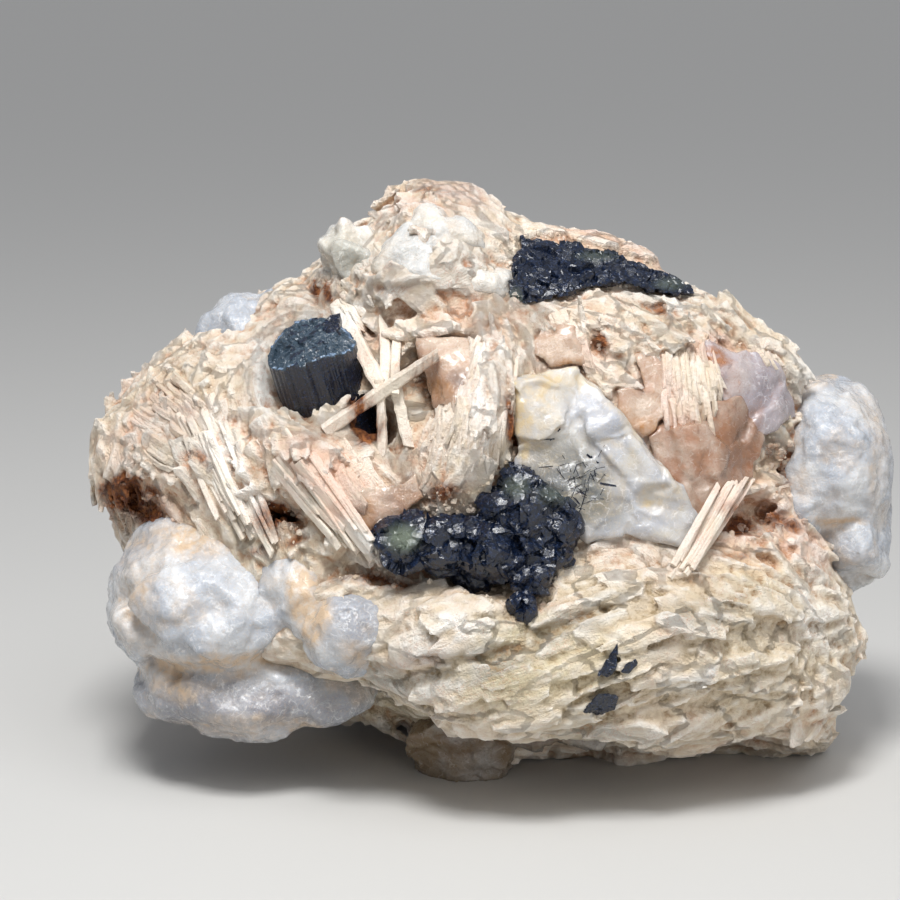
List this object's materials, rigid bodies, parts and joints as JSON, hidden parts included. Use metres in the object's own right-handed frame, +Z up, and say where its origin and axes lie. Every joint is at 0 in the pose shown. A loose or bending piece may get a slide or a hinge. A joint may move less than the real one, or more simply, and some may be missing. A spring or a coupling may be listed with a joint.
{
  "type": "green tourmaline on quartz mineral specimen",
  "caption": "Rough pegmatite cabinet specimen: platy cream albite holding milky and glassy quartz, dark striated tourmaline and free albite blades; stands on its broken underside.",
  "frame": {"origin": "under the middle of the specimen's box, on the surface that it stands on", "axes": "+X to the right as it is seen from the front, +Y to the back, +Z up"},
  "size_m": [0.1101, 0.0695, 0.0784],
  "materials": {
    "albite": "matt, platy and broken, stained peach and rust in the hollows",
    "albite_blade": "ivory blades with a silky cleavage",
    "milky_quartz": "cloudy bluish white, greasy sheen, curved breaks",
    "glassy_quartz": "clear to smoky and amber, smooth curved breaks",
    "tourmaline": "glossy blue-black with a green heart, striated along its length"
  },
  "bodies": {
    "root": {"tourmaline_prism": "tourmaline", "tourmaline_bar": "tourmaline", "tourmaline_cluster": "tourmaline", "tourmaline_chip_upper": "tourmaline", "tourmaline_chip_side": "tourmaline", "tourmaline_chip_lower": "tourmaline", "blade_lattice": "albite_blade", "blade_spray_left": "albite_blade", "blade_spray_middle": "albite_blade", "blade_spray_right": "albite_blade", "milky_quartz_left": "milky_quartz", "milky_quartz_right": "milky_quartz", "milky_quartz_knob": "milky_quartz", "milky_quartz_crown": "milky_quartz", "glassy_quartz_front": "glassy_quartz", "quartz_foot": "glassy_quartz", "albite_matrix": "albite"}
  },
  "joints": []
}
